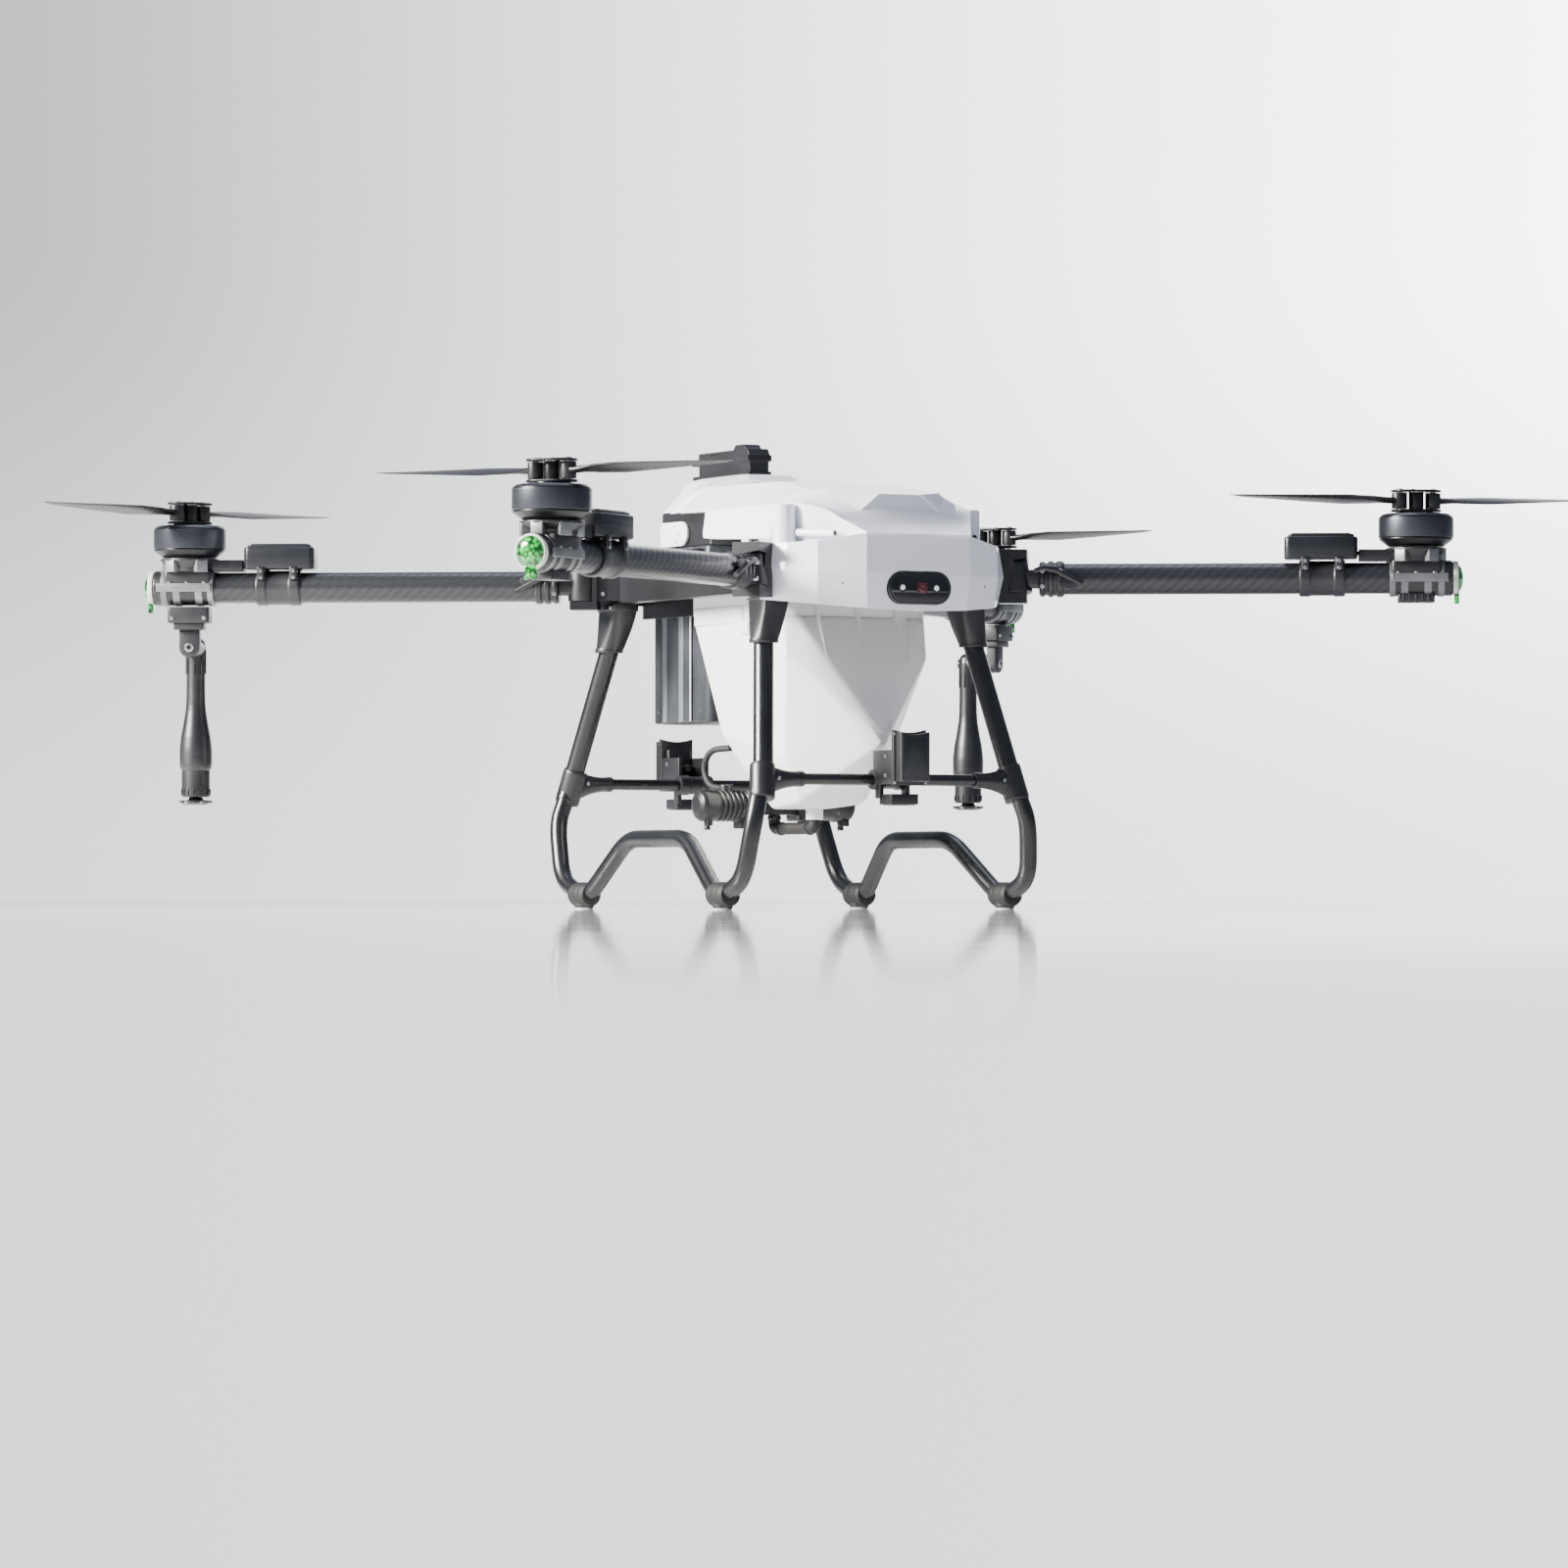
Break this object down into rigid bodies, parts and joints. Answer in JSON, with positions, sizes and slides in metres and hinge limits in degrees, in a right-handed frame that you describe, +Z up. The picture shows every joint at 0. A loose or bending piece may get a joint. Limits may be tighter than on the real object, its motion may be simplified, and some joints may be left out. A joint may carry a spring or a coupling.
{
  "type": "agricultural spray drone",
  "caption": "Spray drone with folding carbon arms, folding propellers, a white cover, a translucent tank, a lift-out battery, rotary nozzles and tube landing gear.",
  "frame": {"origin": "on the ground midway between the four feet, under the middle of the motor rectangle", "axes": "+X to the left of a pilot looking forward from behind, the nose and its camera face -Y, +Z up"},
  "size_m": [2.1544, 1.828, 0.764],
  "materials": {
    "carbon_tube": "carbon fibre roll-wrapped tube, satin clear coat with diagonal twill",
    "carbon_blade": "moulded carbon and nylon blade, satin black",
    "cast_aluminium": "cast and machined, bead blasted grey",
    "gunmetal": "dark anodised",
    "green_lens": "clear green moulded lens",
    "black_tube": "powder coated tube, satin black, moulded joints",
    "white_abs": "painted white ABS, semi-gloss",
    "milky_pe": "translucent white blow-moulded polyethylene",
    "dark_glass": "smoked clear window, polished",
    "battery_case": "dark grey moulded case with a fine texture",
    "black_plastic": "glass-filled nylon, moulded black"
  },
  "bodies": {
    "airframe": {"center_frame": "black_plastic", "hinge_block_fl": "black_plastic", "hinge_block_fr": "black_plastic", "hinge_block_rl": "black_plastic", "hinge_block_rr": "black_plastic", "leg_upper_fl": "black_tube", "leg_upper_fr": "black_tube", "leg_upper_rl": "black_tube", "leg_upper_rr": "black_tube", "side_rail_l": "black_tube", "side_rail_r": "black_tube", "cross_tube_front": "black_tube", "cross_tube_rear": "black_tube", "shell": "white_abs", "camera_window": "dark_glass", "tank": "milky_pe", "pump_l": "black_plastic", "pump_r": "black_plastic", "pump_manifold": "black_plastic", "flight_controller": "black_plastic"},
    "arm_fl": {"arm_fl": "carbon_tube", "motor_mount_fl": "cast_aluminium", "esc_fl": "cast_aluminium", "tip_light_fl": "green_lens"},
    "rotor_fl": {"rotor_fl": "gunmetal"},
    "blade_fl_a": {"blade_fl_a": "carbon_blade"},
    "blade_fl_b": {"blade_fl_b": "carbon_blade"},
    "arm_fr": {"arm_fr": "carbon_tube", "motor_mount_fr": "cast_aluminium", "esc_fr": "cast_aluminium", "tip_light_fr": "green_lens"},
    "rotor_fr": {"rotor_fr": "gunmetal"},
    "blade_fr_a": {"blade_fr_a": "carbon_blade"},
    "blade_fr_b": {"blade_fr_b": "carbon_blade"},
    "arm_rl": {"arm_rl": "carbon_tube", "motor_mount_rl": "cast_aluminium", "esc_rl": "cast_aluminium", "tip_light_rl": "green_lens", "nozzle_bracket_rl": "black_plastic"},
    "rotor_rl": {"rotor_rl": "gunmetal"},
    "blade_rl_a": {"blade_rl_a": "carbon_blade"},
    "blade_rl_b": {"blade_rl_b": "carbon_blade"},
    "nozzle_rl": {"nozzle_barrel_rl": "black_plastic"},
    "nozzle_disc_rl": {"nozzle_disc_rl": "black_plastic"},
    "arm_rr": {"arm_rr": "carbon_tube", "motor_mount_rr": "cast_aluminium", "esc_rr": "cast_aluminium", "tip_light_rr": "green_lens", "nozzle_bracket_rr": "black_plastic"},
    "rotor_rr": {"rotor_rr": "gunmetal"},
    "blade_rr_a": {"blade_rr_a": "carbon_blade"},
    "blade_rr_b": {"blade_rr_b": "carbon_blade"},
    "nozzle_rr": {"nozzle_barrel_rr": "black_plastic"},
    "nozzle_disc_rr": {"nozzle_disc_rr": "black_plastic"},
    "radar_front": {"radar_front": "black_plastic"},
    "radar_rear": {"radar_rear": "black_plastic"},
    "tank_lid": {"tank_lid": "black_plastic"},
    "battery": {"battery": "battery_case", "battery_cap": "white_abs", "battery_handle": "black_plastic"}
  },
  "joints": [
    {"name": "arm_fl_fold", "type": "hinge", "parent": "airframe", "child": "arm_fl", "pos_m": [0.2433, -0.2956, 0.53], "axis": [-0.0419, 0.221, 0.9744], "range_deg": [0, 88]},
    {"name": "rotor_fl_spin", "type": "hinge", "parent": "arm_fl", "child": "rotor_fl", "pos_m": [0.779, -0.647, 0.58], "axis": [0, 0, 1], "continuous": true},
    {"name": "blade_fl_a_fold", "type": "hinge", "parent": "rotor_fl", "child": "blade_fl_a", "pos_m": [0.80585, -0.65495, 0.6535], "axis": [0, 0, 1], "range_deg": [0, 85]},
    {"name": "blade_fl_b_fold", "type": "hinge", "parent": "rotor_fl", "child": "blade_fl_b", "pos_m": [0.75215, -0.63905, 0.6535], "axis": [0, 0, -1], "range_deg": [0, 85]},
    {"name": "arm_fr_fold", "type": "hinge", "parent": "airframe", "child": "arm_fr", "pos_m": [-0.2433, -0.2956, 0.53], "axis": [-0.0419, -0.221, -0.9744], "range_deg": [0, 88]},
    {"name": "rotor_fr_spin", "type": "hinge", "parent": "arm_fr", "child": "rotor_fr", "pos_m": [-0.779, -0.647, 0.58], "axis": [0, 0, 1], "continuous": true},
    {"name": "blade_fr_a_fold", "type": "hinge", "parent": "rotor_fr", "child": "blade_fr_a", "pos_m": [-0.79351, -0.62305, 0.6535], "axis": [0, 0, -1], "range_deg": [0, 85]},
    {"name": "blade_fr_b_fold", "type": "hinge", "parent": "rotor_fr", "child": "blade_fr_b", "pos_m": [-0.7645, -0.67095, 0.6535], "axis": [0, 0, 1], "range_deg": [0, 85]},
    {"name": "arm_rl_fold", "type": "hinge", "parent": "airframe", "child": "arm_rl", "pos_m": [0.2433, 0.2714, 0.53], "axis": [0, 0, -1], "range_deg": [0, 97]},
    {"name": "rotor_rl_spin", "type": "hinge", "parent": "arm_rl", "child": "rotor_rl", "pos_m": [0.779, 0.647, 0.58], "axis": [0, 0, 1], "continuous": true},
    {"name": "blade_rl_a_fold", "type": "hinge", "parent": "rotor_rl", "child": "blade_rl_a", "pos_m": [0.79351, 0.62305, 0.6535], "axis": [0, 0, -1], "range_deg": [0, 85]},
    {"name": "blade_rl_b_fold", "type": "hinge", "parent": "rotor_rl", "child": "blade_rl_b", "pos_m": [0.7645, 0.67095, 0.6535], "axis": [0, 0, 1], "range_deg": [0, 85]},
    {"name": "nozzle_rl_tilt", "type": "hinge", "parent": "arm_rl", "child": "nozzle_rl", "pos_m": [0.779, 0.647, 0.432], "axis": [-0.5741, 0.8188, 0], "range_deg": [0, 90]},
    {"name": "nozzle_disc_rl_spin", "type": "hinge", "parent": "nozzle_rl", "child": "nozzle_disc_rl", "pos_m": [0.74915, 0.68958, 0.1851], "axis": [0, 0, 1], "continuous": true},
    {"name": "arm_rr_fold", "type": "hinge", "parent": "airframe", "child": "arm_rr", "pos_m": [-0.2433, 0.2714, 0.53], "axis": [0, 0, 1], "range_deg": [0, 97]},
    {"name": "rotor_rr_spin", "type": "hinge", "parent": "arm_rr", "child": "rotor_rr", "pos_m": [-0.779, 0.647, 0.58], "axis": [0, 0, 1], "continuous": true},
    {"name": "blade_rr_a_fold", "type": "hinge", "parent": "rotor_rr", "child": "blade_rr_a", "pos_m": [-0.80585, 0.63905, 0.6535], "axis": [0, 0, 1], "range_deg": [0, 85]},
    {"name": "blade_rr_b_fold", "type": "hinge", "parent": "rotor_rr", "child": "blade_rr_b", "pos_m": [-0.75215, 0.65495, 0.6535], "axis": [0, 0, -1], "range_deg": [0, 85]},
    {"name": "nozzle_rr_tilt", "type": "hinge", "parent": "arm_rr", "child": "nozzle_rr", "pos_m": [-0.779, 0.647, 0.432], "axis": [-0.5741, -0.8188, 0], "range_deg": [0, 90]},
    {"name": "nozzle_disc_rr_spin", "type": "hinge", "parent": "nozzle_rr", "child": "nozzle_disc_rr", "pos_m": [-0.74915, 0.68958, 0.1851], "axis": [0, 0, 1], "continuous": true},
    {"name": "radar_front_tilt", "type": "hinge", "parent": "airframe", "child": "radar_front", "pos_m": [0, -0.3065, 0.206], "axis": [1, 0, 0], "range_deg": [-15, 15]},
    {"name": "radar_rear_tilt", "type": "hinge", "parent": "airframe", "child": "radar_rear", "pos_m": [0, 0.335, 0.206], "axis": [1, 0, 0], "range_deg": [-15, 15]},
    {"name": "tank_lid_hinge", "type": "hinge", "parent": "airframe", "child": "tank_lid", "pos_m": [0, 0.016, 0.664], "axis": [-1, 0, 0], "range_deg": [0, 90]},
    {"name": "battery_slide", "type": "slide", "parent": "airframe", "child": "battery", "axis": [0, 0, 1], "range_m": [0, 0.42]}
  ]
}
